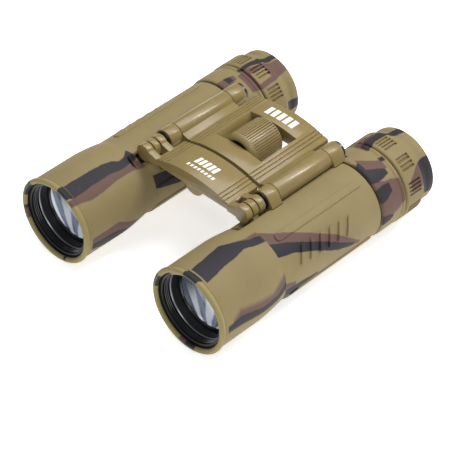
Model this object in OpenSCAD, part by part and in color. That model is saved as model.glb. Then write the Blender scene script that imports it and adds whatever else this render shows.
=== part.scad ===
// Compact double-hinge roof-prism binoculars, 25 mm objectives.
// Objectives face -Y, eyepieces face +Y, +Z is up, the wearer's left barrel is at +X.
// Lengthwise places are stations, counted from the front of the barrels (see at()).

/* [Overall] */
// Length over the barrels
overall_l = 111; // [110:0.5:112]
// Distance between the two optical axes as it stands
axis_gap = 66.2; // [65.8:0.1:66.8]
// Outside radius of the barrels at the objective end
front_r = 16.4; // [16.2:0.1:16.5]
// Height of the bead round the objective end
bead_h = 0.5; // [0.4:0.1:0.6]
// Thickness of the rubber armour at the objective end
armour_t = 1.4; // [1.3:0.1:1.5]

/* [Barrels] */
// Radius of the recess in front of the objective
recess_r = 13.5; // [13.4:0.1:13.6]
// Radius of the slideway that the objective tube runs in
slide_r = 12.9; // [12.8:0.1:13]
// Outside radius of the hard shell behind the taper
shell_r = 13.7; // [13.6:0.1:13.8]
// Inside radius of the hard shell behind the slideway
shell_bore_r = 12.4; // [12.3:0.1:12.5]
// Outside radius of the armour behind the taper
waist_r = 15.1; // [15:0.05:15.2]
// Height of the raised finger strips
strip_h = 0.5; // [0.3:0.1:0.6]
// Outside radius of the rear collar
collar_r = 15.6; // [15.4:0.1:15.8]
// Outside radius of the ribbed ring
grip_r = 15.9; // [15.7:0.1:16]
// Outside radius of the eyecup's rim
cup_r = 14.65; // [14.5:0.05:14.8]

/* [Hinges] */
// Distance of each hinge axis from the middle
hinge_x = 23.9; // [23.8:0.1:24]
// Height of the hinge axes above the optical axes
hinge_rise = 15.8; // [15.7:0.1:16]
// Radius of the knuckles on the barrels and the rear bridge
knuckle_r = 4; // [3.9:0.05:4]
// Radius of the front bridge's knuckles
front_knuckle_r = 3.3; // [3.2:0.1:3.4]
// Radius of the knuckles on the objectives' arms
arm_knuckle_r = 3.2; // [3.1:0.1:3.3]
// Radius of the steel hinge rods
rod_r = 1.6; // [1.4:0.1:1.8]
// Radial play of a knuckle on its rod
play = 0.05; // [0.02:0.01:0.08]

/* [Bridges] */
// Height of the bridges' crown above the optical axes
crown_rise = 19.3; // [19.2:0.1:19.5]
// Radius of the bridges' arched top
arch_r = 56; // [54:1:60]
// Height of the bridges' flat underside above the optical axes
under_rise = 13.8; // [13.7:0.1:13.9]
// Half width of the bridges where they stand clear of the barrel knuckles
plate_x = 18; // [17.8:0.1:18.2]
// Half width of the wheel window
window_x = 11.2; // [11:0.1:11.4]

/* [Focus wheel] */
// Radius of the focus wheel
wheel_r = 7.5; // [7.4:0.1:7.6]
// Height of the wheel's axis above the optical axes
wheel_rise = 15.1; // [15.1:0.1:15.3]
// Radius of the focus screw
screw_r = 1; // [0.9:0.1:1]
// Forward travel of the objectives for near focus
near_travel = 3.5; // [3:0.1:3.5]
// Rearward travel of the objectives past infinity
far_travel = 0.8; // [0.6:0.1:0.8]

/* [Hidden] */
$fn = 96;
EPS = 0.01;
barrel_x = axis_gap / 2;
axis_z = front_r + bead_h;
bead_r = (front_r + bead_h - recess_r) / 2;
chamfer_s = 0.6;
hinge_z = axis_z + hinge_rise;
wheel_z = axis_z + wheel_rise;
hinge_dx = barrel_x - hinge_x;
hinge_gap = sqrt(hinge_dx * hinge_dx + hinge_rise * hinge_rise);
hinge_angle = atan2(hinge_rise, -hinge_dx);
// Free radius round a hinge axis that the barrel's outside keeps clear of the bridges' knuckles
swing_r = knuckle_r + 0.3;
// Clear width either side of the objective tube's arm in its slot
slot_side = 0.4;
// Outer and inner flank of the foot that joins a barrel knuckle to its shell, from the plane
// through the barrel's and the hinge's axes: the outer one runs into the knuckle's side
foot_sides = [-3.95, 3.2];
// Width of the objective tube's arm, and how far short of the hinge axis it ends in its knuckle
arm_w = 3;
arm_short = 2.4;
// Raised finger strips on the armour: [from, to] in degrees from straight outwards, up
strips = [[59, 71], [168, 184], [205, 335]];
strip_span = [36.5, 78.5];
// Groove groups on the ribbed rings: how many, grooves in each and their pitch in degrees
groove_groups = 10;
group_grooves = 4;
groove_pitch = 5.5;
groove_w = 0.7;
groove_depth = 0.45;
// Place of the first groove group on the fixed ring and on the dioptre ring, in degrees
fixed_ring_start = 88;
dioptre_ring_start = 73;

// Stations along the barrel, from its front
lip_s = bead_r;
recess_end_s = 5.2;
slide_end_s = 21;
taper_s = 22;
waist_s = 33;
seam_s = 82;
collar_s = 82.6;
collar_end_s = 94.6;
grip_s = 95;
grip_end_s = 104.2;
spigot_end_s = 101;
// Stations of the knuckles on one hinge, front to rear: [from, to]
front_toe = [35.5, 38.2];
arm_knuckle = [38.9, 41.3];
front_heel = [41.9, 44.6];
washer_span = [45.5, 45.95];
barrel_toe = [46, 51.2];
rear_long = [51.5, 77.5];
barrel_heel = [77.8, 84];
cap_span = [84.1, 85.4];
rod_span = [37.6, 84];
// Stations of the two bridges and of the window
front_plate = [36, 50];
rear_plate = [51.4, 86.4];
window = [59, 77];
wheel_span = [59.4, 74.4];
screw_span = [41, 82.2];
bush_r = 2.2;
nut_r = 2.2;
boss_r = 5;
boss_z = axis_z + 15.4;
// Objective tube
tube_front_s = 8.8;
tube_step_s = 19.4;
tube_end_s = 43;
tube_rear_r = shell_bore_r - 0.3;
lens_r = 12.2;
lens_seat_s = 19.2;
crown_s = [9.7, 15.6];
// Eyepiece
eyepiece_bore_r = 11.6;
eyepiece_s = 85.5;
eyepiece_flange = [102, 103.4];
eyepiece_flange_r = 12.2;
eye_lens_r = 9;
// Radial play of the ribbed ring on the shell's spigot, and of the sliding tubes
ring_play = 0.06;
tube_play = 0.08;
spigot_r = 12.6;
ring_bore_r = spigot_r + ring_play;

// Y of a station
function at(s) = s - overall_l / 2;

// Height of a circular arc of radius r at distance x from its crown
function sag(r, x) = r - sqrt(r * r - x * x);

// An upright outline (x, z) drawn out along Y between two stations
module span(s0, s1)
    translate([0, at(s1), 0]) rotate([90, 0, 0]) linear_extrude(s1 - s0) children();

// A profile (radius, station) turned round an axis along Y through x, z
module turned(x, z)
    translate([x, at(0), z]) rotate([-90, 0, 0]) rotate_extrude() children();

// A plain rod along Y between two stations
module rod(x, z, r, s0, s1)
    translate([x, at(s0), z]) rotate([-90, 0, 0]) cylinder(r = r, h = s1 - s0);

// The same shape on the left, or mirrored onto the right
module on_side(left)
    if (left) children(); else mirror([1, 0, 0]) children();

// Children placed with +X pointing from the left barrel's axis to its hinge axis
module to_hinge()
    translate([barrel_x, 0, axis_z]) rotate([0, -hinge_angle, 0]) children();

// A block reaching from the barrel out towards its hinge, between two flanks
module web(r0, r1, sides, s0, s1)
    to_hinge() translate([r0, at(s0), sides[0]]) cube([r1 - r0, s1 - s0, sides[1] - sides[0]]);

// ---------- barrels ----------

// The foot under a barrel knuckle, from inside the shell's wall at r0
module foot(r0, stations)
    web(r0, hinge_gap, foot_sides, stations[0] + 0.15, stations[1] - 0.15);

module barrel_knuckle(stations) {
    rod(hinge_x, hinge_z, knuckle_r, stations[0], stations[1]);
    foot(shell_r - 0.6, stations);
}

// Room for everything on the hinge that doesn't turn with the barrel
module hinge_recess(r)
    rod(hinge_x, hinge_z, r, front_toe[0] - near_travel - 0.5, cap_span[1] + 0.4);

module arm_slot(w)
    web(shell_bore_r - 2, hinge_gap, [-w / 2, w / 2],
        arm_knuckle[0] - near_travel - 0.4, arm_knuckle[1] + far_travel + 0.4);

module barrel_shell(left) color("dimgray") on_side(left) difference() {
    union() {
        turned(barrel_x, axis_z) polygon([
            [recess_r, lip_s], [front_r - armour_t, lip_s], [front_r - armour_t, taper_s],
            [shell_r, waist_s], [shell_r, grip_s - 0.3], [spigot_r, grip_s - 0.3],
            [spigot_r, spigot_end_s], [eyepiece_bore_r, spigot_end_s],
            [eyepiece_bore_r, seam_s + 2], [shell_bore_r, seam_s + 2],
            [shell_bore_r, slide_end_s], [slide_r, slide_end_s],
            [slide_r, recess_end_s + chamfer_s], [recess_r, recess_end_s]
        ]);
        barrel_knuckle(barrel_toe);
        barrel_knuckle(barrel_heel);
    }
    rod(hinge_x, hinge_z, rod_r + play, barrel_toe[0] - 1, barrel_heel[1] + 1);
    arm_slot(arm_w + 2 * slot_side);
}

// A raised strip on the armour between two angles round the barrel
module strip(angles)
    translate([barrel_x, at(strip_span[0]), axis_z]) rotate([-90, 0, 0]) rotate([0, 0, -angles[1]])
        rotate_extrude(angle = angles[1] - angles[0]) translate([waist_r - strip_h, 0])
            square([2 * strip_h, strip_span[1] - strip_span[0]]);

module armour(left) color("darkkhaki") on_side(left) difference() {
    union() {
        turned(barrel_x, axis_z) difference() {
            union() {
                translate([recess_r + bead_r, lip_s]) circle(bead_r);
                polygon([
                    [front_r - armour_t, lip_s], [front_r, lip_s], [front_r, taper_s],
                    [waist_r, waist_s], [waist_r, seam_s], [shell_r, seam_s],
                    [shell_r, waist_s], [front_r - armour_t, taper_s]
                ]);
            }
            translate([0, lip_s]) square([front_r - armour_t, 2 * bead_r]);
        }
        for (angles = strips) strip(angles);
    }
    hinge_recess(swing_r);
    foot(shell_r - 1, barrel_toe);
    foot(shell_r - 1, barrel_heel);
    arm_slot(arm_w + 2 * slot_side);
}

module rear_collar(left) color("darkkhaki") on_side(left) difference() {
    turned(barrel_x, axis_z) polygon([
        [shell_r, collar_s - 0.6], [waist_r - 0.5, collar_s - 0.6], [waist_r - 0.5, collar_s],
        [collar_r, collar_s], [collar_r, collar_end_s - 2], [collar_r + 0.2, collar_end_s - 1.6],
        [collar_r + 0.2, collar_end_s - 0.4], [collar_r - 0.2, collar_end_s],
        [shell_r, collar_end_s]
    ]);
    hinge_recess(swing_r);
    foot(shell_r - 1, barrel_heel);
}

// ---------- prisms ----------

cage_span = [47, 74];
channel_x = 16;
channel_z = 18.6;
prism_w = channel_x - 2;
light_hole_r = 7.5;

module prism_cage(left) color("black") on_side(left) difference() {
    rod(barrel_x, axis_z, shell_bore_r - 0.05, cage_span[0], cage_span[1]);
    span(cage_span[0] + 2, cage_span[1] - 2) translate([barrel_x, axis_z])
        square([channel_x, channel_z], center = true);
    rod(barrel_x, axis_z, light_hole_r, cage_span[0] - 1, cage_span[1] + 1);
}

// A prism block w wide, its side outline drawn as (station, height over the axis)
module glass_block(outline, w)
    translate([barrel_x - w / 2, at(0), axis_z])
        rotate([90, 0, 90]) linear_extrude(w) polygon(outline);

module half_penta_prism(left) color("powderblue") on_side(left)
    glass_block([[49.3, -8], [49.3, 6.6], [56.1, 9], [61.2, -8]], prism_w);

module roof_prism(left) color("lightblue") on_side(left) intersection() {
    glass_block([[56.9, 9], [71.5, 9], [71.5, -5.6], [66.5, -9], [62.2, -9]], prism_w);
    span(56, 72) translate([barrel_x, axis_z])
        polygon([[-prism_w / 2, -9], [prism_w / 2, -9], [prism_w / 2, 2.2], [0, 9],
                [-prism_w / 2, 2.2]]);
}

module prism_clip(left) color("silver") on_side(left)
    span(64, 68) translate([barrel_x, axis_z])
        polygon([[-7.6, -9.2], [7.6, -9.2], [7.6, 0], [7.3, 0], [7.3, -9.05], [-7.3, -9.05],
            [-7.3, 0], [-7.6, 0]]);

module field_stop(left) color("black") on_side(left) turned(barrel_x, axis_z)
    polygon([[6.6, 77.9], [shell_bore_r - 0.05, 77.6], [shell_bore_r - 0.05, 79.2], [7.2, 79.2]]);

// ---------- eyepieces ----------

module eyepiece_tube(left) color("dimgray") on_side(left) turned(barrel_x, axis_z) polygon([
    [10.3, eyepiece_s], [eyepiece_bore_r - tube_play, eyepiece_s],
    [eyepiece_bore_r - tube_play, eyepiece_flange[0]],
    [eyepiece_flange_r, eyepiece_flange[0]], [eyepiece_flange_r, eyepiece_flange[1]],
    [eye_lens_r + 1, eyepiece_flange[1]], [eye_lens_r + 1, 101.6], [eye_lens_r + 0.05, 101.6],
    [eye_lens_r + 0.05, 97.8], [eye_lens_r - 0.8, 97.8], [eye_lens_r - 0.8, 92.4],
    [10.3, 92.4]
]);

// A lens turned from two spherical faces: bulge heights b0 and b1 at its rim radius r
module lens(r, s0, s1, b0, b1) {
    steps = 12;
    turned(barrel_x, axis_z) polygon(concat(
        [for (i = [0 : steps]) [r * i / steps, s0 - b0 * (1 - pow(i / steps, 2))]],
        [for (i = [steps : -1 : 0]) [r * i / steps, s1 + b1 * (1 - pow(i / steps, 2))]]
    ));
}

module field_lens(left) color("lightcyan") on_side(left) lens(10.25, 88.2, 92.3, 1.2, 0);

module eye_lens(left) color("lightcyan") on_side(left) lens(eye_lens_r, 97.9, 101.5, 0.9, 1);

module eye_lens_ring(left) color("black") on_side(left) turned(barrel_x, axis_z)
    polygon([[eye_lens_r - 0.6, 101.65], [eye_lens_r + 0.95, 101.65],
        [eye_lens_r + 0.95, eyepiece_flange[1]], [eye_lens_r, eyepiece_flange[1]]]);

// The ribbed ring: grooves cut lengthwise in groups between plain pads
module ribbed_ring(left, start) color("darkkhaki") on_side(left) difference() {
    turned(barrel_x, axis_z) polygon([
        [ring_bore_r, grip_s], [grip_r - 0.4, grip_s], [grip_r, grip_s + 0.4],
        [grip_r, grip_end_s - 0.4], [grip_r - 0.4, grip_end_s], [ring_bore_r, grip_end_s]
    ]);
    for (group = [1 : groove_groups], k = [1 : group_grooves])
        translate([barrel_x, at(grip_s + 1.6), axis_z])
            rotate([0, -start - group * 360 / groove_groups
                - (k - (group_grooves + 1) / 2) * groove_pitch, 0])
                translate([grip_r - groove_depth, 0, -groove_w / 2])
                    cube([1, grip_end_s - grip_s - 3.2, groove_w]);
}

module eyecup(left) color("darkkhaki") on_side(left) turned(barrel_x, axis_z) polygon([
    [ring_bore_r, grip_end_s], [cup_r + 0.15, grip_end_s], [cup_r - 0.25, grip_end_s + 2],
    [cup_r - 0.25, grip_end_s + 3.2], [cup_r, grip_end_s + 3.7], [cup_r, overall_l - 0.6],
    [cup_r - 0.6, overall_l], [cup_r - 1.1, overall_l], [cup_r - 1.5, overall_l - 0.5],
    [ring_bore_r, grip_end_s + 2]
]);

// ---------- objectives ----------

module objective_tube(left) color("black") on_side(left) difference() {
    union() {
        turned(barrel_x, axis_z) polygon([
            [lens_r + 0.05, tube_front_s], [slide_r - tube_play, tube_front_s],
            [slide_r - tube_play, tube_step_s], [tube_rear_r, tube_step_s],
            [tube_rear_r, tube_end_s], [tube_rear_r - 1, tube_end_s],
            [tube_rear_r - 1, lens_seat_s], [lens_r + 0.05, lens_seat_s]
        ]);
        web(tube_rear_r - 0.6, hinge_gap - arm_short, [-arm_w / 2, arm_w / 2],
            arm_knuckle[0], arm_knuckle[1]);
        rod(hinge_x, hinge_z, arm_knuckle_r, arm_knuckle[0], arm_knuckle[1]);
    }
    rod(hinge_x, hinge_z, rod_r + play, arm_knuckle[0] - 1, arm_knuckle[1] + 1);
}

module crown_lens(left) color("lightsteelblue") on_side(left) lens(lens_r, crown_s[0], crown_s[1], 1.2, 0.6);

module flint_lens(left) color("lightsteelblue") on_side(left) lens(lens_r, 16.4, 18.8, -0.1, 0.3);

module retaining_ring(left) color("black") on_side(left) turned(barrel_x, axis_z)
    polygon([[lens_r - 0.3, tube_front_s + 0.5], [lens_r, tube_front_s + 0.1],
        [lens_r, crown_s[0] - 0.1], [lens_r - 0.3, crown_s[0] - 0.1]]);

// ---------- bridges ----------

// Half outline of a bridge's cross-section out to half width w: arched top and flat underside
module plate_outline(w) {
    steps = 10;
    top = [for (i = [-steps : steps])
        [w * i / steps, axis_z + crown_rise - sag(arch_r, w * i / steps)]];
    polygon(concat([[w, axis_z + under_rise], [-w, axis_z + under_rise]], top));
}

// Size of the lengthwise grooves on a bridge's shoulders
shoulder_groove_w = 0.6;
shoulder_groove_depth = 0.35;

// Lengthwise grooves on a bridge's shoulders
module plate_grooves(s0, s1)
    for (side = [-1, 1], x = [12.8, 14.3, 15.8])
        translate([side * x - shoulder_groove_w / 2, at(s0),
            axis_z + crown_rise - sag(arch_r, x) - shoulder_groove_depth])
            cube([shoulder_groove_w, s1 - s0, 1]);

module knuckle_pair(stations, r)
    for (side = [-1, 1]) {
        rod(side * hinge_x, hinge_z, r, stations[0], stations[1]);
        span(stations[0], stations[1])
            polygon([
                [side * (plate_x - 0.6), axis_z + under_rise],
                [side * hinge_x, hinge_z - 2.2],
                [side * hinge_x, hinge_z + 2.6],
                [side * (plate_x - 0.6), axis_z + crown_rise - sag(arch_r, plate_x - 0.6)]
            ]);
    }

// The half-round boss under a bridge that carries the nut or the wheel's bush
module underside_boss(s0, s1) intersection() {
    rod(0, boss_z, boss_r, s0, s1);
    translate([-boss_r, at(s0), 0]) cube([2 * boss_r, s1 - s0, axis_z + crown_rise - 1]);
}

module front_bridge() color("tan") difference() {
    union() {
        span(front_plate[0], front_plate[1]) plate_outline(plate_x);
        knuckle_pair(front_toe, front_knuckle_r);
        knuckle_pair(front_heel, front_knuckle_r);
        underside_boss(front_plate[0] + 0.5, front_plate[1]);
    }
    for (side = [-1, 1])
        rod(side * hinge_x, hinge_z, rod_r + play, front_toe[0] + 1.2, front_heel[1] + 1);
    rod(0, wheel_z, screw_r + 0.3, front_plate[0] + 2, front_plate[1] + 1);
    rod(0, wheel_z, nut_r + 0.02, front_plate[0] + 4, front_plate[1] + 1);
    plate_grooves(front_plate[0] - 1, front_plate[1] + 1);
}

module focus_nut() color("goldenrod") difference() {
    rod(0, wheel_z, nut_r, front_plate[0] + 4.05, front_plate[1] - 0.1);
    rod(0, wheel_z, screw_r + play, front_plate[0] + 3, front_plate[1] + 1);
}

// The wheel window: upright ends, sides scooped out for a finger and narrowing down to the wheel
module wheel_window() {
    top = axis_z + crown_rise - sag(arch_r, window_x);
    low = axis_z + under_rise - 1;
    slope = [[window_x, top + 5], [window_x, top], [window_x - 0.9, top - 1.9],
        [window_x - 1.5, top - 3.4], [wheel_r + 1, low]];
    span(window[0], window[1])
        polygon(concat(slope, [for (i = [4 : -1 : 0]) [-slope[i][0], slope[i][1]]]));
}

module rear_bridge() color("tan") difference() {
    union() {
        span(rear_plate[0], rear_plate[1]) plate_outline(plate_x);
        knuckle_pair(rear_long, knuckle_r);
        underside_boss(rear_plate[0], window[0] - 0.3);
    }
    for (side = [-1, 1])
        rod(side * hinge_x, hinge_z, rod_r + 0.02, rear_long[0] - 1, rear_long[1] + 1);
    wheel_window();
    rod(0, wheel_z, bush_r + 0.02, rear_plate[0] - 1, window[0] + 1);
    rod(0, wheel_z, screw_r + play, window[1] - 1, screw_span[1] + 0.3);
    plate_grooves(rear_plate[0] - 1, rear_plate[1] + 1);
    for (p = plate_screws)
        translate([p[0], at(p[1]), axis_z + under_rise - 1]) cylinder(r = 0.82, h = 3.4);
}

module axle_bush() color("goldenrod") difference() {
    rod(0, wheel_z, bush_r, rear_plate[0] + 0.2, window[0] - 0.2);
    rod(0, wheel_z, screw_r + play, rear_plate[0] - 1, window[0] + 1);
}

bottom_plate_t = 1;
bottom_plate_x = 12.6;
plate_screws = [for (x = [-10.9, 10.9], s = [61, 84]) [x, s]];

module bridge_bottom_plate() color("tan") difference() {
    span(59.6, 86) polygon([
        [-bottom_plate_x, axis_z + under_rise], [bottom_plate_x, axis_z + under_rise],
        [bottom_plate_x - 0.5, axis_z + under_rise - bottom_plate_t],
        [0.5 - bottom_plate_x, axis_z + under_rise - bottom_plate_t]
    ]);
    rod(0, wheel_z, wheel_r + 0.9, 55, window[1] + 0.6);
    for (p = plate_screws)
        translate([p[0], at(p[1]), axis_z + under_rise - 2]) cylinder(r = 0.85, h = 3);
}

module bottom_plate_screws() color("silver") for (p = plate_screws)
    translate([p[0], at(p[1]), axis_z + under_rise - bottom_plate_t - 0.7]) difference() {
        union() {
            cylinder(r = 1.5, h = 0.7);
            cylinder(r = 0.8, h = 3.9);
        }
        for (turn = [0, 90])
            rotate([0, 0, turn]) translate([-0.9, -0.18, -EPS]) cube([1.8, 0.36, 0.4]);
    }

module hinge_rod(left) color("lightgray") on_side(left) difference() {
    rod(hinge_x, hinge_z, rod_r, rod_span[0], rod_span[1]);
    rod(hinge_x, hinge_z, 0.82, rod_span[1] - 4.4, rod_span[1] + 1);
}

module hinge_washers() color("black") for (side = [-1, 1]) difference() {
    rod(side * hinge_x, hinge_z, knuckle_r - 0.6, washer_span[0], washer_span[1]);
    rod(side * hinge_x, hinge_z, rod_r + play, washer_span[0] - 1, washer_span[1] + 1);
}

module hinge_end_screws() color("darkslategray") for (side = [-1, 1]) difference() {
    union() {
        rod(side * hinge_x, hinge_z, knuckle_r - 0.7, cap_span[0], cap_span[1]);
        rod(side * hinge_x, hinge_z, 0.8, rod_span[1] - 4, cap_span[0] + EPS);
    }
    translate([side * hinge_x - 2.4, at(cap_span[1] - 0.5), hinge_z - 0.35]) cube([4.8, 2, 0.7]);
}

// ---------- focus wheel ----------

rib_count = 48;
core_r = wheel_r - 2;

module focus_wheel_hub() color("black") difference() {
    union() {
        rod(0, wheel_z, core_r, wheel_span[0] + 0.3, wheel_span[1] - 0.3);
        rod(0, wheel_z, 3.6, wheel_span[1] - 1, window[1] - 0.3);
    }
    rod(0, wheel_z, screw_r, wheel_span[0] - 1, window[1] + 1);
}

module focus_wheel_grip() color("tan") difference() {
    turned(0, wheel_z) polygon([
        [core_r, wheel_span[0]], [wheel_r - 1.3, wheel_span[0]], [wheel_r, wheel_span[0] + 1.8],
        [wheel_r, wheel_span[1] - 0.6], [wheel_r - 0.6, wheel_span[1]], [core_r, wheel_span[1]]
    ]);
    for (k = [0 : rib_count - 1])
        translate([0, at(wheel_span[0] + 2), wheel_z]) rotate([0, k * 360 / rib_count, 0])
            translate([wheel_r - 0.4, 0, -0.25]) cube([1, wheel_span[1] - wheel_span[0], 0.5]);
}

module focus_screw() color("silver")
    rod(0, wheel_z, screw_r, screw_span[0], screw_span[1]);

module wheel_clip() color("gray") difference() {
    rod(0, wheel_z, 3, window[0] + 0.15, wheel_span[0] + 0.1);
    rod(0, wheel_z, screw_r, window[0] - 1, wheel_span[0] + 2);
}

rear_bridge();
bridge_bottom_plate();
bottom_plate_screws();
axle_bush();
hinge_rod(true);  // left_hinge_rod
hinge_rod(false);  // right_hinge_rod
hinge_washers();
hinge_end_screws();
focus_wheel_hub();
focus_wheel_grip();
focus_screw();
wheel_clip();
front_bridge();
focus_nut();
barrel_shell(true);  // left_barrel_shell
armour(true);  // left_armour
rear_collar(true);  // left_rear_collar
prism_cage(true);  // left_prism_cage
roof_prism(true);  // left_roof_prism
half_penta_prism(true);  // left_half_penta_prism
prism_clip(true);  // left_prism_clip
field_stop(true);  // left_field_stop
eyepiece_tube(true);  // left_eyepiece_tube
field_lens(true);  // left_field_lens
eye_lens(true);  // left_eye_lens
eye_lens_ring(true);  // left_eye_lens_ring
ribbed_ring(true, fixed_ring_start);  // left_grip_ring
eyecup(true);  // left_eyecup
barrel_shell(false);  // right_barrel_shell
armour(false);  // right_armour
rear_collar(false);  // right_rear_collar
prism_cage(false);  // right_prism_cage
roof_prism(false);  // right_roof_prism
half_penta_prism(false);  // right_half_penta_prism
prism_clip(false);  // right_prism_clip
field_stop(false);  // right_field_stop
eyepiece_tube(false);  // right_eyepiece_tube
field_lens(false);  // right_field_lens
eye_lens(false);  // right_eye_lens
eye_lens_ring(false);  // right_eye_lens_ring
ribbed_ring(false, dioptre_ring_start);  // diopter_ring
eyecup(false);  // right_eyecup
objective_tube(true);  // left_objective_tube
crown_lens(true);  // left_crown_lens
flint_lens(true);  // left_flint_lens
retaining_ring(true);  // left_retaining_ring
objective_tube(false);  // right_objective_tube
crown_lens(false);  // right_crown_lens
flint_lens(false);  // right_flint_lens
retaining_ring(false);  // right_retaining_ring
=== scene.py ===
import math

import bmesh
import bpy
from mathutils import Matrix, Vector


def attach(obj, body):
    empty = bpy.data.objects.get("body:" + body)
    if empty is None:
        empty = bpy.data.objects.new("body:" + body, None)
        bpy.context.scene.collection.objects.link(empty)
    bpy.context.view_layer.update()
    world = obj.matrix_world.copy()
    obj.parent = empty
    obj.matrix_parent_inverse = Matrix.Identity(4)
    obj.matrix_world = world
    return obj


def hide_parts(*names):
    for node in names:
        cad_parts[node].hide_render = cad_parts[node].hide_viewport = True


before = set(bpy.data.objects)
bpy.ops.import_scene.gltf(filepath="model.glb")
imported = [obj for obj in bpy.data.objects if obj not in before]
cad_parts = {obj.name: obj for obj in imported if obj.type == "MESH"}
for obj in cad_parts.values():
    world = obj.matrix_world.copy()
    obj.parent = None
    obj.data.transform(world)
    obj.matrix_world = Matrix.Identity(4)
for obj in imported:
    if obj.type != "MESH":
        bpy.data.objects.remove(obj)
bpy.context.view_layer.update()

# ---------- the studio ----------
# The binoculars lie on their barrels on a plain pale sheet, objectives towards the camera.
# One broad soft light hangs overhead, a second fills from the front, a narrow strip draws the
# glints along the hinges, and the room is pale.

floor = bpy.data.objects.new("studio_floor", bpy.data.meshes.new("studio_floor"))
floor_sheet = bmesh.new()
bmesh.ops.create_grid(floor_sheet, x_segments=1, y_segments=1, size=3.0)
bmesh.ops.translate(floor_sheet, verts=floor_sheet.verts, vec=(0, 0, -0.0002))
floor_sheet.to_mesh(floor.data)
floor_sheet.free()
floor_paper = bpy.data.materials.new("studio_paper")
floor_paper.use_nodes = True
paper = floor_paper.node_tree.nodes["Principled BSDF"].inputs
paper["Base Color"].default_value = (0.9, 0.9, 0.9, 1)
paper["Roughness"].default_value = 0.9
paper["Emission Color"].default_value = (1, 1, 1, 1)
paper["Emission Strength"].default_value = 0.6
floor.data.materials.append(floor_paper)
bpy.context.scene.collection.objects.link(floor)

room = bpy.data.worlds.new("studio_room")
room.use_nodes = True
room.node_tree.nodes["Background"].inputs["Color"].default_value = (0.95, 0.97, 1.0, 1)
room.node_tree.nodes["Background"].inputs["Strength"].default_value = 0.26
bpy.context.scene.world = room
bpy.context.scene.view_settings.view_transform = "Standard"


def hang_light(name, place, aim, size, power):
    lamp = bpy.data.lights.new(name, "AREA")
    lamp.shape = "RECTANGLE"
    lamp.size, lamp.size_y = size
    lamp.energy = power
    light = bpy.data.objects.new(name, lamp)
    light.location = place
    light.rotation_euler = (Vector(aim) - Vector(place)).to_track_quat("-Z", "Y").to_euler()
    bpy.context.scene.collection.objects.link(light)


hang_light("overhead_softbox", (-0.15, 0.25, 1.0), (0, 0, 0.02), (0.9, 0.7), 8.2)
hang_light("front_softbox", (0.75, -0.55, 0.75), (0, 0, 0.02), (0.6, 0.5), 3.6)
hang_light("glint_strip", (0.27, 0.47, 0.72), (0, 0, 0.03), (0.06, 0.4), 4.0)

camera = bpy.data.objects.new("camera", bpy.data.cameras.new("camera"))
camera.data.lens = 188.1
camera.data.sensor_width = 36
camera.location = (0.4463, -0.4599, 0.5593)
camera_aim = Vector((0.00034, -0.0035, 0.00352))
camera.rotation_euler = (camera_aim - camera.location).to_track_quat("-Z", "Y").to_euler()
bpy.context.scene.collection.objects.link(camera)
bpy.context.scene.camera = camera

# ---------- rubber armour ----------
# Each barrel wears a sleeve of soft rubber, moulded in khaki and printed with camouflage.
# It rolls over the front edge as a bead, narrows behind the objective, and leaves a trough
# for the hinge and a slot in that trough for the arm that pushes the objective.

LENGTH = 111.0  # barrels, in millimetres as everywhere here
BARREL_X = 33.1
AXIS_Z = 16.9
FRONT_R = 16.4
BEAD_R = 1.05
BEAD_CENTRE_R = 15.85
LINING_R = 15.02  # inside of the sleeve at the front
SHELL_R = 13.72  # inside of the rubber behind the taper
TAPER = (21.0, 33.0)
WAIST_R = 15.1
SEAM = 82.0
HINGE_X, HINGE_RISE = 23.9, 15.8
HINGE_REACH = math.hypot(BARREL_X - HINGE_X, HINGE_RISE)
HINGE_ANGLE = math.degrees(math.atan2(HINGE_RISE, HINGE_X - BARREL_X))
TROUGH = (31.5, 85.8)
TROUGH_R = 4.3
ARM_SLOT = (34.6, 42.8)
SLOT_HALF_ANGLE = 8.4
SIDES = {"left": 1, "right": -1}


class Signal:
    """A shader socket that can be used in sums; new() adds any other node."""

    def __init__(self, tree, socket=None):
        self.tree = tree
        self.socket = socket

    def new(self, kind, settings, *values, out=0, **named):
        node = self.tree.nodes.new("ShaderNode" + kind)
        for name, setting in settings.items():
            if name == "stops":
                stops = node.color_ramp.elements
                stops.remove(stops[1])
                stops[0].position, stops[0].color = setting[0]
                for place, colour in setting[1:]:
                    stops.new(place).color = colour
            elif name == "curve":
                node.color_ramp.interpolation = setting
            else:
                setattr(node, name, setting)
        inputs = list(zip(node.inputs, values))
        inputs += [(node.inputs[name.replace("_", " ")], value) for name, value in named.items()]
        for socket, value in inputs:
            if isinstance(value, Signal):
                self.tree.links.new(value.socket, socket)
            elif value is not None:
                socket.default_value = value
        return Signal(self.tree, node.outputs[out] if node.outputs else None)

    def maths(self, operation, *values):
        return self.new("Math", {"operation": operation}, *values)

    def __add__(self, other):
        return self.maths("ADD", self, other)

    def __sub__(self, other):
        return self.maths("SUBTRACT", self, other)

    def __rsub__(self, other):
        return self.maths("SUBTRACT", other, self)

    def __mul__(self, other):
        return self.maths("MULTIPLY", self, other)

    def __truediv__(self, other):
        return self.maths("DIVIDE", self, other)

    __radd__ = __add__

    def rises(self, low, high):
        """0 below low and 1 above high, with a smooth step between."""
        return self.new("MapRange", {"interpolation_type": "SMOOTHSTEP"}, self, low, high, 0.0, 1.0)

    def over(self, under, colour):
        """The colour laid over another one where this mask is 1."""
        blank = [None] * 5
        return self.new("Mix", {"data_type": "RGBA"}, self, *blank, under, colour, out=2)


def paint(red, green, blue):
    """A display colour from 0 to 255 as the linear colour that a shader takes."""
    shown = [v / 255 for v in (red, green, blue)]
    return tuple(v / 12.92 if v < 0.04045 else ((v + 0.055) / 1.055) ** 2.4 for v in shown) + (1,)


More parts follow.
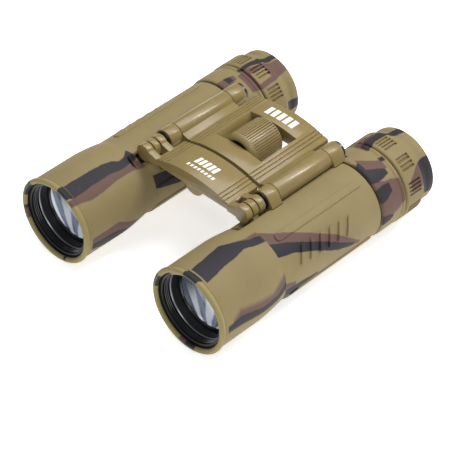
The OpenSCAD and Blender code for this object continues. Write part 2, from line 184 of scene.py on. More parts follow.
def open_finish(name):
    """A new material, its first signal, and the object's own coordinates in millimetres."""
    material = bpy.data.materials.new(name)
    material.use_nodes = True
    material.node_tree.nodes.clear()
    start = Signal(material.node_tree)
    where = start.new("TexCoord", {}, out=3)
    place = start.new("VectorMath", {"operation": "SCALE"}, where, Scale=1000.0)
    return material, start, place


def close_finish(colour, roughness, relief, depth, **fixed):
    """Joins colour, roughness and relief (0 to 1, depth in millimetres) to the shader."""
    bumped = relief.new("Bump", {}, Strength=1.0, Distance=depth / 1000, Height=relief)
    shader = relief.new("BsdfPrincipled", {}, Base_Color=colour, Roughness=roughness,
                        Normal=bumped, **fixed)
    relief.new("OutputMaterial", {}, Surface=shader)


def grain(start, place, size, detail=2.0):
    """Cloudy noise from 0 to 1 with spots of about that many millimetres."""
    return start.new("TexNoise", {}, Vector=place, Scale=1 / size, Detail=detail)


KHAKI = paint(137, 122, 84)
LIP_KHAKI = paint(144, 131, 86)
CHARCOAL = paint(45, 43, 48)
RED_BROWN = paint(100, 76, 68)

# Printed strokes: colour, softness of the edge in degrees, then (station, from, to), with the
# angles in degrees round the barrel from +X upwards. Later strokes lie over earlier ones.
LEFT_STROKES = (
    (RED_BROWN, 1.5, ((24, 84, 91), (28, 80, 88), (33, 74, 90))),
    (CHARCOAL, 0.7, ((3.5, 67, 94), (8, 69, 96), (13, 72, 98), (18, 73, 101), (24, 76.5, 91),
                     (28, 72, 84), (33, 70, 82))),
    (RED_BROWN, 0.8, ((33, 60, 88), (36, 56, 77), (40, 48, 67), (48, 33, 50), (55, 20, 34),
                      (60, 8, 22), (66, -8, 4), (71, -18, -12))),
    (CHARCOAL, 0.7, ((33, 43, 63), (40, 36, 52), (48, 23, 36), (55, 8, 22), (60, -2, 10),
                     (68, -13, -8))),
    (RED_BROWN, 5, ((6, -2, 9), (10, 2, 17), (20, -3, 9), (26, -6, 7), (32.9, 2, 20))),
    (CHARCOAL, 2, ((3.5, -5, 5), (10, -6, 8), (20, -12, -1), (28, -13, -2), (32.9, -6, 8))),
    (RED_BROWN, 1, ((33, -14, 3), (38, -12, -3))),
    (CHARCOAL, 1, ((33, -32, -8), (42, -24, -12), (50, -22, -18))),
    (CHARCOAL, 1, ((3.5, -78, -58), (14, -92, -62), (26, -104, -88), (33, -118, -96))),
    (RED_BROWN, 1, ((3.5, -86, -78), (14, -104, -92), (26, -114, -104))),
    (CHARCOAL, 1, ((33, -70, -52), (46, -84, -60), (60, -104, -84), (74, -112, -106))),
    (RED_BROWN, 1, ((46, -60, -50), (60, -84, -70), (70, -98, -92))),
    (CHARCOAL, 1, ((3.5, 150, 172), (16, 158, 188), (27, 176, 190), (33, 184, 200))),
    (CHARCOAL, 1, ((44, 150, 166), (58, 160, 182), (74, 176, 184), (81, 180, 184))),
    (RED_BROWN, 1, ((50, 142, 154), (62, 150, 162), (72, 158, 168))),
    # bead
    (CHARCOAL, 0.8, ((0, 75, 96), (2.8, 72, 96))),
    (CHARCOAL, 0.8, ((0, 149, 172), (2.8, 147, 172))),
    (RED_BROWN, 0.8, ((0, -106, -95), (2.8, -106, -95))),
    (CHARCOAL, 0.8, ((0, -95, -78), (2.8, -95, -78))),
    # collar
    (RED_BROWN, 1.2, ((82.6, 0, 94), (86, 0, 50), (88, -4, 46), (91, 0, 44), (94, 8, 40))),
    (CHARCOAL, 1, ((82.6, 52, 84), (85, 50, 90), (88, 50, 80), (91, 52, 66))),
    (CHARCOAL, 1, ((82.6, 22, 42), (86, 24, 44), (89, 30, 42))),
    (RED_BROWN, 1, ((84.5, 72, 94), (88, 66, 82), (92, 58, 72))),
    (CHARCOAL, 1, ((82.6, -14, 2), (86, -12, 0), (88, -8, -4))),
    (CHARCOAL, 1, ((91.6, 70, 77), (93.6, 68, 75))),
    (CHARCOAL, 1, ((82.6, 150, 190), (88, 160, 200), (94, 176, 196))),
    (CHARCOAL, 1, ((82.6, -110, -70), (90, -90, -60), (94.6, -78, -64))),
    # ribbed ring and eyecup
    (RED_BROWN, 1.2, ((91.5, 96, 118), (95, 100, 124), (99, 106, 124), (104, 104, 112))),
    (CHARCOAL, 1, ((92, 94, 108), (98, 100, 117), (103, 99, 113), (107, 92, 106), (111, 88, 100))),
    (RED_BROWN, 1, ((98, 10, 26), (103, 10, 40), (105.5, 14, 42))),
    (CHARCOAL, 0.8, ((104.6, -12, 40), (108, -14, 44), (111, -14, 42))),
    (CHARCOAL, 1, ((95, 180, 200), (102, 168, 196), (111, 160, 176))),
    (RED_BROWN, 1, ((95, -120, -96), (104, -100, -80), (111, -90, -78))),
)
RIGHT_STROKES = (
    (RED_BROWN, 1, ((0, 51, 60), (4, 50, 60), (9, 46, 62), (14, 47, 64), (21, 50, 64),
                    (27, 50, 64), (33, 47, 64), (35, 46, 56))),
    (CHARCOAL, 1, ((2.9, 59, 80), (8.5, 60, 80), (14, 61, 79), (20, 61, 78), (24.4, 59, 75),
                   (27, 59, 70), (30, 60, 72), (33, 61, 80), (34.5, 62, 66))),
    (CHARCOAL, 1, ((3.5, -20, -8), (16, -40, -14), (28, -52, -36), (33, -58, -44))),
    (RED_BROWN, 1, ((3.5, -8, -1), (16, -14, 0), (26, -32, -20))),
    (CHARCOAL, 1, ((36, 10, 30), (48, -4, 22), (60, -20, 4), (72, -30, -18))),
    (RED_BROWN, 1, ((40, 30, 38), (50, 22, 32), (62, 4, 14), (70, -8, 0))),
    (CHARCOAL, 1, ((3.5, 196, 216), (14, 204, 230), (24, 222, 240), (33, 232, 240))),
    (RED_BROWN, 1, ((3.5, 188, 196), (14, 194, 204), (22, 208, 216))),
    (CHARCOAL, 1, ((33, 200, 224), (46, 214, 236), (60, 232, 244), (72, 240, 246))),
    (RED_BROWN, 1, ((46, 204, 214), (60, 220, 232), (68, 232, 240))),
    # bead
    (CHARCOAL, 0.8, ((0, 63, 80), (2.8, 60, 82))),
    (CHARCOAL, 0.8, ((0, 135, 165), (2.8, 137, 165))),
    (CHARCOAL, 0.8, ((0, 184, 190), (2.8, 184, 190))),
    (RED_BROWN, 0.8, ((0, 190, 205), (2.8, 190, 205))),
    (CHARCOAL, 0.8, ((0, -76, -71), (2.8, -77, -72))),
    # collar
    (RED_BROWN, 1, ((82.6, 74, 92), (86, 76, 92), (90, 82, 90))),
    (CHARCOAL, 1, ((85.6, 80, 92), (88.5, 82, 90))),
    (CHARCOAL, 1, ((82.6, -20, 20), (88, -10, 10), (94, -4, 2))),
    (CHARCOAL, 1, ((82.6, 200, 240), (88, 190, 224), (94, 186, 204))),
    # ribbed ring and eyecup
    (RED_BROWN, 1, ((91, 52, 84), (96, 48, 86), (103, 50, 80), (110.5, 54, 74))),
    (KHAKI, 1, ((95.5, 56, 74), (102, 57, 74))),
    (CHARCOAL, 1, ((93, 86, 93), (99, 86, 94), (102, 82, 92), (106, 79, 90), (110.5, 78, 86))),
    (CHARCOAL, 1, ((104.6, -12, 12), (108, -8, 10), (111, -6, 8))),
    (CHARCOAL, 1, ((95, 150, 168), (103, 160, 184), (111, 172, 190))),
    (RED_BROWN, 1, ((95, -70, -40), (104, -60, -44), (111, -56, -50))),
)


def stroke_mask(start, station, angle, softness, stops):
    """1 inside one printed stroke, whose two edges wander as its stops say."""
    first, last = stops[0][0], stops[-1][0]
    middle = sum(low + high for _, low, high in stops) / (2 * len(stops))
    ends = [((s - first) / (last - first), tuple((v - middle) / 360 + 0.5 for v in edges) + (0, 1))
            for s, *edges in stops]
    edges = start.new("ValToRGB", {"stops": ends}, (station - first) / (last - first))
    apart = start.new("SeparateColor", {}, edges)
    high_edge = Signal(start.tree, apart.socket.node.outputs[1])
    turned = start.maths("WRAP", angle - middle, 180.0, -180.0)
    inside = (turned - (apart - 0.5) * 360).rises(-softness, softness)
    inside = inside * ((high_edge - 0.5) * 360 - turned).rises(-softness, softness)
    inside = inside * (station - first).rises(-0.12, 0.12)
    return inside * (last - station).rises(-0.12, 0.12)


def camouflage(name, side, strokes):
    """Matt rubber in khaki, printed with charcoal and red-brown strokes."""
    material, start, place = open_finish(name)
    across = start.new("SeparateXYZ", {}, place)
    along = Signal(start.tree, across.socket.node.outputs[1])
    up = Signal(start.tree, across.socket.node.outputs[2])
    drift = grain(start, place, 4.0, 3.0) - 0.5
    fray = grain(start, place, 0.5) - 0.5
    station = along + LENGTH / 2 + fray * 0.25
    angle = start.maths("ARCTAN2", up - AXIS_Z, across - side * BARREL_X) * (180 / math.pi)
    angle = angle + drift * 3.0 + fray * 0.9
    cloud = grain(start, place, 14.0, 3.0)
    lip = 1 - station.rises(1.9, 2.5)
    colour = lip.over(cloud.rises(0.3, 0.8).over(KHAKI, paint(130, 116, 82)), LIP_KHAKI)
    for shade, softness, stops in strokes:
        colour = stroke_mask(start, station, angle, softness, stops).over(colour, shade)
    speckle = grain(start, place, 0.22)
    scuffs = grain(start, place, 1.6, 4.0).rises(0.62, 0.75)
    colour = (scuffs * 0.10).over(colour, paint(160, 148, 112))
    colour = ((speckle - 0.35) * 0.25).over(colour, paint(60, 54, 40))
    roughness = 0.58 + cloud * 0.12 + scuffs * 0.05
    close_finish(colour, roughness, speckle, 0.018, Specular_IOR_Level=0.22)
    return material


rubber = {
    "left": camouflage("left_camouflage_rubber", 1, LEFT_STROKES),
    "right": camouflage("right_camouflage_rubber", -1, RIGHT_STROKES),
}


def turn(outline, steps, start_angle=0.0):
    """A closed outline of (radius, station) points turned round the barrel's axis."""
    ring = bmesh.new()
    across = math.cos(math.radians(start_angle))
    up = math.sin(math.radians(start_angle))
    points = [ring.verts.new((r * across, s, r * up)) for r, s in outline]
    edges = [ring.edges.new(pair) for pair in zip(points, points[1:] + points[:1])]
    bmesh.ops.spin(ring, geom=points + edges, cent=(0, 0, 0), axis=(0, -1, 0),
                   angle=2 * math.pi, steps=steps, use_merge=True)
    bmesh.ops.remove_doubles(ring, verts=ring.verts, dist=1e-4)
    bmesh.ops.recalc_face_normals(ring, faces=ring.faces)
    return ring


def round_off(work, width, sharper_than):
    """Rounds every edge that turns more sharply than that many degrees."""
    sharp = [e for e in work.edges
             if len(e.link_faces) == 2 and e.calc_face_angle() > math.radians(sharper_than)]
    bmesh.ops.bevel(work, geom=sharp, offset=width, offset_type="OFFSET", affect="EDGES",
                    segments=2, profile=0.5, material=-1, clamp_overlap=True)


def put_on_barrel(work, side):
    """Moves work made round the barrel's axis, +X outwards, to the left or right barrel."""
    bmesh.ops.scale(work, verts=work.verts, vec=(side, 1, 1))
    if side < 0:
        bmesh.ops.reverse_faces(work, faces=work.faces)
    bmesh.ops.translate(work, verts=work.verts, vec=(side * BARREL_X, -LENGTH / 2, AXIS_Z))


def finish_piece(work, name, body, slot, material, *nodes):
    """Makes the piece from work in millimetres, joins it to its body, and hides the CAD nodes it
    stands in for.
    """
    bmesh.ops.scale(work, verts=work.verts, vec=(0.001, 0.001, 0.001))
    mesh = bpy.data.meshes.new(name)
    work.to_mesh(mesh)
    work.free()
    mesh.materials.append(material)
    mesh.shade_smooth()
    mesh.set_sharp_from_angle(angle=math.radians(40))
    piece = bpy.data.objects.new(name, mesh)
    bpy.context.scene.collection.objects.link(piece)
    if nodes:
        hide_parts(*nodes)
    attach(piece, body)


def trough_radius(angle):
    """Distance from the barrel's axis to the floor of the hinge trough at an angle in degrees."""
    aside = math.radians(angle - HINGE_ANGLE)
    short = TROUGH_R**2 - (HINGE_REACH * math.sin(aside)) ** 2
    faces_hinge = short > 0 and math.cos(aside) > 0
    return HINGE_REACH * math.cos(aside) - math.sqrt(short) if faces_hinge else math.inf


def sleeve_outline():
    """The armour's section from the inside of the bead, over it, back and in again."""
    bead = [(BEAD_CENTRE_R - BEAD_R * math.cos(a), BEAD_R - BEAD_R * math.sin(a))
            for a in (math.radians(15 * k) for k in range(0, 15))]
    groove = [(FRONT_R - 0.2, 2.35), (FRONT_R - 0.04, 2.6), (FRONT_R, 2.9), (FRONT_R, 12)]
    fall, run = FRONT_R - WAIST_R, TAPER[1] - TAPER[0]
    taper = [(FRONT_R - fall * (t / 8) ** 1.5, TAPER[0] + run * t / 8) for t in range(0, 8)]
    waist = [(WAIST_R, s) for s in (TAPER[1], *ARM_SLOT, 60, SEAM - 0.7)]
    tail = [(WAIST_R - 0.12, SEAM - 0.25), (WAIST_R - 0.4, SEAM), (SHELL_R, SEAM)]
    lining = [(SHELL_R, s) for s in (*ARM_SLOT[::-1], TAPER[1])]
    lining += [(LINING_R, 22), (LINING_R, BEAD_R)]
    crease = [(15.27, TROUGH[0] - 0.02), (15.26, TROUGH[0])]
    return bead + groove + taper + crease + waist + tail + lining


def press_trough(work):
    """Presses the hinge trough into a ring, over the trough's own stations."""
    for v in work.verts:
        radius = math.hypot(v.co.x, v.co.z)
        floor_r = trough_radius(math.degrees(math.atan2(v.co.z, v.co.x)))
        if TROUGH[0] - 0.01 < v.co.y < TROUGH[1] and floor_r < radius:
            v.co.x *= floor_r / radius
            v.co.z *= floor_r / radius


def open_arm_slot(sleeve):
    """Opens the slot for the objective's arm through the floor of the trough."""
    opening = []
    for f in sleeve.faces:
        middle = f.calc_center_median()
        aside = math.degrees(math.atan2(middle.z, middle.x)) - HINGE_ANGLE
        if abs(aside) < SLOT_HALF_ANGLE and ARM_SLOT[0] < middle.y < ARM_SLOT[1]:
            opening.append(f)
    bmesh.ops.delete(sleeve, geom=opening, context="FACES")
    rim = [e for e in sleeve.edges if len(e.link_faces) == 1]
    bmesh.ops.bridge_loops(sleeve, edges=rim)


for side_name, side in SIDES.items():
    sleeve = turn(sleeve_outline(), 216, HINGE_ANGLE)
    press_trough(sleeve)
    open_arm_slot(sleeve)
    round_off(sleeve, 0.12, 35)
    put_on_barrel(sleeve, side)
    finish_piece(sleeve, side_name + "_armour_sleeve", side_name + "_barrel", "camouflage_rubber",
                 rubber[side_name], side_name + "_armour")

# ---------- finger strips and thumb ribs ----------
# Raised strips run along the sleeve behind the crease, moulded in one with it, with rounded
# ends. A row of slanting ribs outboard of the upper strip gives the thumb its hold; the right
# barrel's are much lower. The strip named outer is the one that faces the other barrel.

STRIPS = {"upper": (59, 71), "outer": (168, 184), "under": (205, 335)}
STRIP_SPAN = (36.5, 78.5)
STRIP_H = 0.5
RIB_H = {"left": 0.8, "right": 0.2}
RIBS_FROM, RIB_PITCH, RIB_WIDTH = 42.0, 4.6, 1.6
RIB_ANGLES = (17, 41)  # of the first; each next one is a degree lower
RIB_LEAN = 3.0  # along the barrel, from one end of a rib to the other


def bent_pad(angles, span, height, corner, edge):
    """A rounded pad moulded on the waist of the barrel between two angles and two stations."""
    width = math.radians(angles[1] - angles[0]) * WAIST_R
    length = span[1] - span[0]
    pad = bmesh.new()
    outline = [pad.verts.new((x, y, -0.3)) for x, y in
               ((-width / 2, 0), (width / 2, 0), (width / 2, length), (-width / 2, length))]
    pad.faces.new(outline)
    bmesh.ops.bevel(pad, geom=outline, offset=corner, offset_type="OFFSET", affect="VERTICES",
                    segments=5, profile=0.5, material=-1)
    raised = bmesh.ops.extrude_face_region(pad, geom=list(pad.faces))["geom"]
    top = [v for v in raised if isinstance(v, bmesh.types.BMVert)]
    bmesh.ops.translate(pad, verts=top, vec=(0, 0, 0.3 + height))
    rim = {e for v in top for e in v.link_edges if all(w in top for w in e.verts)}
    bmesh.ops.bevel(pad, geom=list(rim), offset=edge, offset_type="OFFSET", affect="EDGES",
                    segments=3, profile=0.5, material=-1, clamp_overlap=True)
    cuts = int(width // 0.6)
    for k in range(1, cuts):
        bmesh.ops.bisect_plane(pad, geom=pad.verts[:] + pad.edges[:] + pad.faces[:],
                               plane_co=(width * (k / cuts - 0.5), 0, 0), plane_no=(1, 0, 0))
    middle = math.radians(sum(angles) / 2)
    for v in pad.verts:
        angle = middle + v.co.x / WAIST_R
        radius = WAIST_R + v.co.z
        v.co = (radius * math.cos(angle), v.co.y + span[0], radius * math.sin(angle))
    bmesh.ops.recalc_face_normals(pad, faces=pad.faces)
    return pad


for side_name, side in SIDES.items():
    for strip_name, angles in STRIPS.items():
        strip = bent_pad(angles, STRIP_SPAN, STRIP_H, 1.3, 0.35)
        put_on_barrel(strip, side)
        finish_piece(strip, f"{side_name}_{strip_name}_strip", side_name + "_barrel",
                     "camouflage_rubber", rubber[side_name])
    for k in range(6):
        front = RIBS_FROM + RIB_PITCH * k
        low, high = (angle - k for angle in RIB_ANGLES)
        rib = bent_pad((low, high), (front, front + RIB_WIDTH), RIB_H[side_name], 0.6, 0.2)
        for v in rib.verts:
            angle = math.degrees(math.atan2(v.co.z, v.co.x))
            v.co.y += RIB_LEAN * (angle - (low + high) / 2) / (high - low)
        put_on_barrel(rib, side)
        finish_piece(rib, f"{side_name}_thumb_rib_{k + 1}", side_name + "_barrel",
                     "camouflage_rubber", rubber[side_name])

# ---------- rear collar ----------
# A separate rubber collar closes the rear of each barrel behind a dark seam. It has a thin
# raised rim at its back edge, and the hinge trough runs out in its front.

COLLAR = (82.6, 94.6)
COLLAR_R = 15.6

for side_name, side in SIDES.items():
    front, back = COLLAR
    collar = turn(
        [(SHELL_R, front), (COLLAR_R - 0.45, front), (COLLAR_R - 0.1, front + 0.35)]
        + [(COLLAR_R, front + 1.2), (COLLAR_R, TROUGH[1] - 0.02), (COLLAR_R, TROUGH[1] + 0.02)]
        + [(COLLAR_R, back - 2.2), (COLLAR_R - 0.15, back - 1.9), (COLLAR_R + 0.2, back - 1.55)]
        + [(COLLAR_R + 0.28, back - 0.9), (COLLAR_R + 0.12, back - 0.4), (COLLAR_R - 0.4, back)]
        + [(SHELL_R, back)], 216, HINGE_ANGLE)
    press_trough(collar)
    round_off(collar, 0.08, 40)
    put_on_barrel(collar, side)
    finish_piece(collar, side_name + "_collar", side_name + "_barrel", "camouflage_rubber",
                 rubber[side_name], side_name + "_rear_collar")

# ---------- ribbed rings ----------
# The left ring is fixed, the right one turns to set the dioptre. Both are rubber on a plastic
# core, with groups of four grooves moulded lengthwise between plain pads.

RING = (95.0, 104.2)
RING_R = 15.9
RING_BORE_R = 12.66
GROOVES = (96.6, 102.6)
GROUP_PITCH, GROOVE_PITCH, GROOVE_HALF = 36.0, 5.4, 1.8
RING_START = {"left": 88.0, "right": 73.0}
RING_BODY = {"left": "left_barrel", "right": "diopter_ring"}
RING_NODE = {"left": "left_grip_ring", "right": "diopter_ring"}

for side_name, side in SIDES.items():
    front, back = RING
    ring = turn(
        [(RING_BORE_R, front), (RING_R - 0.7, front), (RING_R - 0.25, front + 0.2)]
        + [(RING_R, front + 0.7), (RING_R, GROOVES[0]), (RING_R, GROOVES[1]), (RING_R, back - 0.6)]
        + [(RING_R - 0.25, back - 0.2), (RING_R - 0.6, back), (RING_BORE_R, back)],
        400, RING_START[side_name] + 0.45 - GROUP_PITCH)
    cut = []
    for f in ring.faces:
        middle = f.calc_center_median()
        angle = math.degrees(math.atan2(middle.z, middle.x)) - RING_START[side_name] + 1800
        aside = (angle + GROUP_PITCH / 2) % GROUP_PITCH - GROUP_PITCH / 2
        in_group = abs(aside) < 2 * GROOVE_PITCH
        in_groove = abs((aside + 2 * GROOVE_PITCH) % GROOVE_PITCH - GROOVE_PITCH / 2) < GROOVE_HALF
        outside = math.hypot(middle.x, middle.z) > RING_R - 0.1
        if outside and in_group and in_groove and GROOVES[0] < middle.y < GROOVES[1]:
            cut.append(f)
    bmesh.ops.inset_region(ring, faces=cut, thickness=0.14, depth=-0.75, use_even_offset=True)
    put_on_barrel(ring, side)
    finish_piece(ring, side_name + "_ribbed_ring", RING_BODY[side_name], "camouflage_rubber",
                 rubber[side_name], RING_NODE[side_name])

# ---------- eyecups ----------
# Soft rubber cups behind the rings: a skirt the width of the ring, a shallow waist where the
# cup folds, and a rolled rim round a wide well that leads down to the eye lens.

for side_name, side in SIDES.items():
    cup = turn(
        [(RING_BORE_R, 104.25), (15.1, 104.25), (15.0, 104.8), (14.75, 105.5), (14.45, 106.2)]
        + [(14.4, 107.0), (14.45, 107.5), (14.62, 107.9), (14.65, 108.6), (14.65, 109.9)]
        + [(14.5, 110.55), (14.05, 110.95), (13.6, 110.95), (13.2, 110.5), (13.0, 109.6)]
        + [(RING_BORE_R, 106.2)], 160)
    put_on_barrel(cup, side)
    finish_piece(cup, side_name + "_cup", RING_BODY[side_name], "camouflage_rubber",
                 rubber[side_name], side_name + "_eyecup")

# ---------- bridges ----------
# Two zinc castings in satin khaki paint: the front one carries the objectives' arms, the rear
# one holds the wheel. Both are arched, grooved along the shoulders and end in hinge knuckles.

CROWN_RISE = 19.3
ARCH_R = 56.0
SATIN_KHAKI = paint(134, 116, 72)


def satin_paint(name, colour, rough=0.25):
    """Satin stoved paint: fine orange peel, faint clouding and a little dust in the pores."""
    material, start, place = open_finish(name)
    cloud = grain(start, place, 9.0, 3.0)
    pores = grain(start, place, 0.35)
    peel = grain(start, place, 0.9)
    dust = grain(start, place, 2.2, 4.0).rises(0.58, 0.78)
    shade = cloud.rises(0.25, 0.85).over(colour, tuple(0.9 * c for c in colour[:3]) + (1,))
    shade = (dust * 0.12).over(shade, paint(200, 190, 160))
    shade = (pores.rises(0.55, 0.8) * 0.18).over(shade, tuple(0.6 * c for c in colour[:3]) + (1,))
    close_finish(shade, rough + cloud * 0.1 + dust * 0.08, peel * 0.5 + pores * 0.5, 0.012,
                 Specular_IOR_Level=0.42, Coat_Weight=0.1, Coat_Roughness=0.12)
    return material


def recut(node, width):
    """A casting taken over from the frame in millimetres, with its edges broken."""
    work = bmesh.new()
    work.from_mesh(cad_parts[node].data)
    bmesh.ops.scale(work, verts=work.verts, vec=(1000, 1000, 1000))
    bmesh.ops.remove_doubles(work, verts=work.verts, dist=0.0005)
    bmesh.ops.dissolve_limit(work, angle_limit=math.radians(0.8), verts=work.verts,
                             edges=work.edges)
    round_off(work, width, 35)
    return work


satin_khaki = satin_paint("satin_khaki_paint", SATIN_KHAKI)
for node, body in (("front_bridge", "front_bridge"), ("rear_bridge", "bridge")):
    finish_piece(recut(node, 0.22), node + "_casting", body, "satin_khaki_metal", satin_khaki, node)
finish_piece(recut("bridge_bottom_plate", 0.15), "bottom_cover", "bridge", "satin_khaki_metal",
             satin_khaki, "bridge_bottom_plate")

# ---------- printed marks ----------
# White pad printing on both bridges: plain slanting bars and a rule, with no words, a few
# hundredths of a millimetre proud of the paint.

print_white, start, place = open_finish("white_print")
ink = grain(start, place, 0.3)
worn = grain(start, place, 1.1, 3.0).rises(0.6, 0.8)
close_finish((worn * 0.35).over(paint(240, 238, 230), SATIN_KHAKI), 0.45 + ink * 0.1, ink, 0.006)


def printed_bars(name, body, stations, bars, slant):
    """Flat bars (x from, x to) between two stations, laid on the arch of a bridge."""
    marks = bmesh.new()
    middle = sum(stations) / 2 - LENGTH / 2
    for low, high in bars:
        bar = bmesh.ops.create_cube(marks, size=1.0)["verts"]
        bmesh.ops.scale(marks, verts=bar, vec=(high - low, stations[1] - stations[0], 0.06))
        bmesh.ops.translate(marks, verts=bar, vec=((low + high) / 2, middle, 0))
    for v in marks.verts:
        v.co.x -= slant * (v.co.y - middle)
        v.co.z += AXIS_Z + CROWN_RISE - ARCH_R + math.sqrt(ARCH_R**2 - v.co.x**2)
    finish_piece(marks, name, body, "satin_khaki_metal", print_white)


printed_bars("front_print", "front_bridge", (41.9, 45.3),
             [(-4.9 + 2.1 * k, -3.5 + 2.1 * k) for k in range(5)], -0.15)
printed_bars("front_rule", "front_bridge", (39.3, 40.6),
             [(-6.2 + 1.7 * k, -5.2 + 1.7 * k) for k in range(8)], -0.15)
printed_bars("rear_print", "bridge", (79.4, 83.6),
             [(-6.9 + 2.9 * k, -4.9 + 2.9 * k) for k in range(5)], 0.0)

# ---------- hinges ----------
# Steel rods run through knuckles on the bridges and barrels, with thin washers between and
# blackened end screws behind. The barrels' knuckles and feet are painted, their shells black.

BLACK = paint(12, 12, 13)


def moulded_black(name, rough, shade=BLACK, gloss=0.4):
    """Matt moulded black: fine spark-eroded grain and a faint grey bloom."""
    material, start, place = open_finish(name)
    spark = grain(start, place, 0.28)
    bloom = grain(start, place, 5.0, 3.0)
    colour = (bloom * 0.25).over(shade, paint(40, 40, 43))
    close_finish(colour, rough + bloom * 0.1, spark, 0.012, Specular_IOR_Level=gloss)
    return material


def turned_metal(name, colour, rough):
    """Lathe-turned metal: fine rings along the part and a few stains."""
    material, start, place = open_finish(name)
    along = start.new("SeparateXYZ", {}, place, out=1)
    rings = grain(start, start.new("CombineXYZ", {}, 0.0, along, 0.0), 0.12)
    stain = grain(start, place, 2.5, 3.0)
    dark = tuple(0.55 * c for c in colour[:3]) + (1,)
    close_finish(stain.rises(0.55, 0.8).over(colour, dark), rough + rings * 0.12, rings, 0.004,
                 Metallic=1.0)
    return material


black_plastic = moulded_black("black_plastic", 0.42)
steel = turned_metal("ground_steel", paint(190, 192, 196), 0.22)
blackened_steel = turned_metal("blackened_steel", paint(70, 70, 76), 0.28)
brass = turned_metal("turned_brass", paint(205, 175, 105), 0.25)

shell_finish, start, place = open_finish("shell_black_and_khaki")
across = start.new("SeparateXYZ", {}, place)
up = Signal(start.tree, across.socket.node.outputs[2])
aside = start.maths("ABSOLUTE", across) - HINGE_X
above = up - AXIS_Z - HINGE_RISE
off_hinge = start.maths("SQRT", aside * aside + above * above)
painted = 1 - off_hinge.rises(5.2, 5.3)
spark = grain(start, place, 0.3)
cloud = grain(start, place, 8.0, 3.0)
khaki_side = cloud.rises(0.3, 0.8).over(SATIN_KHAKI,
                                        tuple(0.9 * c for c in SATIN_KHAKI[:3]) + (1,))
close_finish(painted.over((cloud * 0.3).over(BLACK, paint(34, 34, 36)), khaki_side),
             0.26 + cloud * 0.08 + (1 - painted) * 0.14, spark, 0.012, Specular_IOR_Level=0.38)
for side_name in SIDES:
    node = side_name + "_barrel_shell"
    finish_piece(recut(node, 0.25), side_name + "_shell", side_name + "_barrel", "black_shell",
                 shell_finish, node)
    node = side_name + "_objective_tube"
    finish_piece(recut(node, 0.2), side_name + "_objective_slide_tube", side_name + "_objective",
                 "black_plastic", shell_finish, node)


def dress(material, *nodes):
    """Gives nodes that are shown as they are their finish."""
    for name in nodes:
        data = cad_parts[name].data
        data.materials.clear()
        data.materials.append(material)


dress(steel, "left_hinge_rod", "right_hinge_rod", "bottom_plate_screws", "focus_screw",
      "wheel_clip", "left_prism_clip", "right_prism_clip")
dress(black_plastic, "hinge_washers", "focus_wheel_hub")
dress(brass, "axle_bush", "focus_nut")
dress(blackened_steel, "hinge_end_screws")

# ---------- focus wheel ----------
# A khaki grip moulded on a black hub, turning in the window of the rear bridge. Its front edge
# is a smooth chamfer, and fine ribs run along the rest.

WHEEL_R = 7.5
WHEEL_RISE = 15.1
WHEEL = (59.4, 74.4)
WHEEL_RIBS = 48
FLUTE_SHARE = 0.39  # of the pitch from one rib to the next

front, back = WHEEL
wheel = turn(
    [(WHEEL_R - 2.0, front), (WHEEL_R - 1.25, front), (WHEEL_R - 0.95, front + 0.12)]
    + [(WHEEL_R - 0.22, front + 1.2), (WHEEL_R - 0.06, front + 1.5), (WHEEL_R, front + 1.8)]
    + [(WHEEL_R, back - 0.7), (WHEEL_R - 0.2, back - 0.25), (WHEEL_R - 0.6, back)]
    + [(WHEEL_R - 2.0, back)], 5 * WHEEL_RIBS)
flutes = []
for f in wheel.faces:
    middle = f.calc_center_median()
    pitch = 360 / WHEEL_RIBS
    share = (math.degrees(math.atan2(middle.z, middle.x)) % pitch) / pitch
    outside = math.hypot(middle.x, middle.z) > WHEEL_R - 0.05
    if share < FLUTE_SHARE and outside and middle.y > front + 2:
        flutes.append(f)
bmesh.ops.inset_region(wheel, faces=flutes, thickness=0.05, depth=-0.6, use_even_offset=True)
bmesh.ops.translate(wheel, verts=wheel.verts, vec=(0, -LENGTH / 2, AXIS_Z + WHEEL_RISE))
finish_piece(wheel, "ribbed_wheel_grip", "focus_wheel", "khaki_grip",
             satin_paint("wheel_khaki", paint(140, 122, 78), 0.36), "focus_wheel_grip")

# ---------- objectives ----------
# A cemented pair of lenses sits in the sliding tube behind a black retaining ring. The recess
# in front has a black lining with threads, and ends in a polished step. The lining is made
# darker and duller than the other blacks: painted shade for the deep recess. The streaks in the
# glass are painted, and stand in for light that the prisms throw back; the glass also glows
# faintly all over and brightly in the streaks, and its milky grey-blue is painted light as well.

RECESS_R = 13.6  # the lining's pieces reach this far into the wall
THREADS_FROM, THREAD_PITCH = 2.9, 0.7

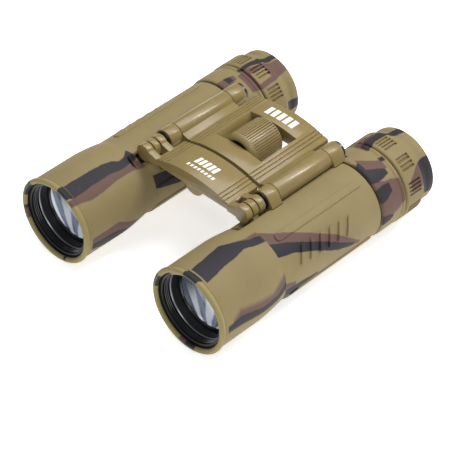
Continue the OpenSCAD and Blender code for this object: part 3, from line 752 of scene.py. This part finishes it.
coated_glass, start, place = open_finish("coated_glass")
film = grain(start, place, 6.0)
split = start.new("SeparateXYZ", {}, place)
aside = start.maths("ABSOLUTE", split) - BARREL_X
above = Signal(start.tree, split.socket.node.outputs[2]) - AXIS_Z
fan = start.maths("ARCTAN2", above + 20.0, aside) * 14.0 + film * 0.7
low_side = 1 - (above - aside * 0.4).rises(-4.0, 7.0)
painted_light_streaks = start.maths("SINE", fan).rises(-0.5, 0.6) * low_side
# The milky grey-blue of the glass is painted light: it brightens the glass as reflections would.
bloom = paint(110, 117, 130)
close_finish(painted_light_streaks.over(bloom, paint(215, 220, 230)), 0.03 + film * 0.01, film, 0.001,
             Transmission_Weight=0.6, IOR=1.7, Specular_IOR_Level=0.6,
             Specular_Tint=(0.75, 0.88, 1.0, 1),
             # The glass glows faintly all over and brightly in the streaks: painted light, with no
             # lamp inside.
             Emission_Color=painted_light_streaks.over(paint(58, 63, 74), paint(215, 218, 225)),
             Emission_Strength=0.34)
optical_glass, start, place = open_finish("optical_glass")
film = grain(start, place, 6.0)
close_finish(film.over(paint(232, 240, 240), paint(240, 244, 240)), 0.02 + film * 0.01, film,
             0.001, Transmission_Weight=1.0, IOR=1.52)
glossy_black = moulded_black("polished_black", 0.16, gloss=0.75)
# The lining is black, and made darker and duller than the other blacks: painted shade deep in the
# recess.
recess_black_painted_shade = moulded_black("recess_black_painted_shade", 0.5, paint(4, 4, 5), 0.06)
bright_edge = turned_metal("bright_edge", paint(150, 151, 157), 0.26)

for side_name, side in SIDES.items():
    dress(coated_glass, side_name + "_crown_lens", side_name + "_flint_lens")
    dress(glossy_black, side_name + "_retaining_ring", side_name + "_field_stop")
    dress(black_plastic, side_name + "_prism_cage", side_name + "_eyepiece_tube",
          side_name + "_eye_lens_ring")
    dress(optical_glass, side_name + "_roof_prism", side_name + "_half_penta_prism",
          side_name + "_field_lens", side_name + "_eye_lens")
    lining = turn([(15.3, 1.5), (14.84, 1.3), (14.3, 1.75), (13.46, 2.3), (13.44, 4.95),
                   (RECESS_R, 4.95), (RECESS_R, 2.6), (15.3, 2.6)], 160)
    put_on_barrel(lining, side)
    finish_piece(lining, side_name + "_recess_lining", side_name + "_barrel", "black_shell",
                 recess_black_painted_shade)
    for k in range(3):
        crest = THREADS_FROM + THREAD_PITCH * k
        thread = turn([(RECESS_R, crest - 0.3), (13.3, crest - 0.06), (13.3, crest + 0.06),
                       (RECESS_R, crest + 0.3)], 128)
        put_on_barrel(thread, side)
        finish_piece(thread, f"{side_name}_recess_thread_{k + 1}", side_name + "_barrel",
                     "black_shell", glossy_black)
    step = turn([(RECESS_R, 5.15), (13.4, 5.15), (13.28, 5.22), (13.14, 5.42), (13.1, 5.6),
                 (RECESS_R, 5.6)], 160)
    put_on_barrel(step, side)
    finish_piece(step, side_name + "_polished_step", side_name + "_barrel", "black_shell",
                 bright_edge)
